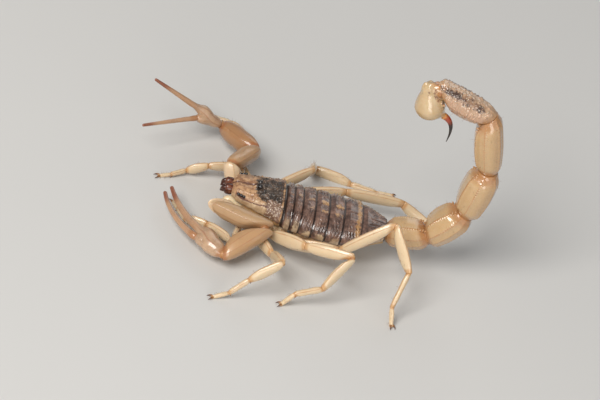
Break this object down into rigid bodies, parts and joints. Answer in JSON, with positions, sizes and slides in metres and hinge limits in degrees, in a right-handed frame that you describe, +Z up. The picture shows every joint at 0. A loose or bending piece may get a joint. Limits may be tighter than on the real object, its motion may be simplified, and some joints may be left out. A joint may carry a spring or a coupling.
{
  "type": "scorpion model",
  "caption": "Life-size still scorpion standing on its legs, tail raised in an arc over the back, one pincer folded forward and the other held out open.",
  "frame": {"origin": "on the floor, under the middle of the whole animal's bounding box", "axes": "+Z up; the head points along -X and the animal's left side along -Y"},
  "size_m": [0.045, 0.0366, 0.0302],
  "materials": {
    "shield": "satin horny plate, orange-tan in front and grey-brown behind, with fine grains",
    "back": "satin dark grey-brown plates with tan patches and orange-brown hind borders",
    "belly": "satin cream-tan plates",
    "leg": "satin pale yellow-tan with orange-brown knees",
    "arm": "glossy orange-brown",
    "tail": "satin orange-tan with darker orange keels",
    "bulb": "glossy cream-yellow",
    "sting": "glossy, red-brown at the root and black at the tip",
    "jaw": "glossy dark red-brown",
    "eye": "polished black"
  },
  "bodies": {
    "root": {"carapace": "shield", "coxosternum": "belly", "mesosoma_1": "back", "mesosoma_2": "back", "mesosoma_3": "back", "mesosoma_4": "back", "mesosoma_5": "back", "mesosoma_6": "back", "mesosoma_7": "back", "metasoma_1": "tail", "metasoma_2": "tail", "metasoma_3": "tail", "metasoma_4": "tail", "metasoma_5": "tail", "vesicle": "bulb", "aculeus": "sting", "median_eye_left": "eye", "chelicera_left": "jaw", "pectine_left": "belly", "median_eye_right": "eye", "chelicera_right": "jaw", "pectine_right": "belly", "pedipalp_left_trochanter": "arm", "pedipalp_left_femur": "arm", "pedipalp_left_patella": "arm", "pedipalp_left_hand": "arm", "pedipalp_left_finger": "arm", "pedipalp_right_trochanter": "arm", "pedipalp_right_femur": "arm", "pedipalp_right_patella": "arm", "pedipalp_right_hand": "arm", "pedipalp_right_finger": "arm", "leg_left_1_femur": "leg", "leg_left_1_patella": "leg", "leg_left_1_foot": "leg", "leg_left_2_femur": "leg", "leg_left_2_patella": "leg", "leg_left_2_foot": "leg", "leg_left_3_femur": "leg", "leg_left_3_patella": "leg", "leg_left_3_foot": "leg", "leg_left_4_femur": "leg", "leg_left_4_patella": "leg", "leg_left_4_foot": "leg", "leg_right_1_femur": "leg", "leg_right_1_patella": "leg", "leg_right_1_foot": "leg", "leg_right_2_femur": "leg", "leg_right_2_patella": "leg", "leg_right_2_foot": "leg", "leg_right_3_femur": "leg", "leg_right_3_patella": "leg", "leg_right_3_foot": "leg", "leg_right_4_femur": "leg", "leg_right_4_patella": "leg", "leg_right_4_foot": "leg"}
  },
  "joints": []
}
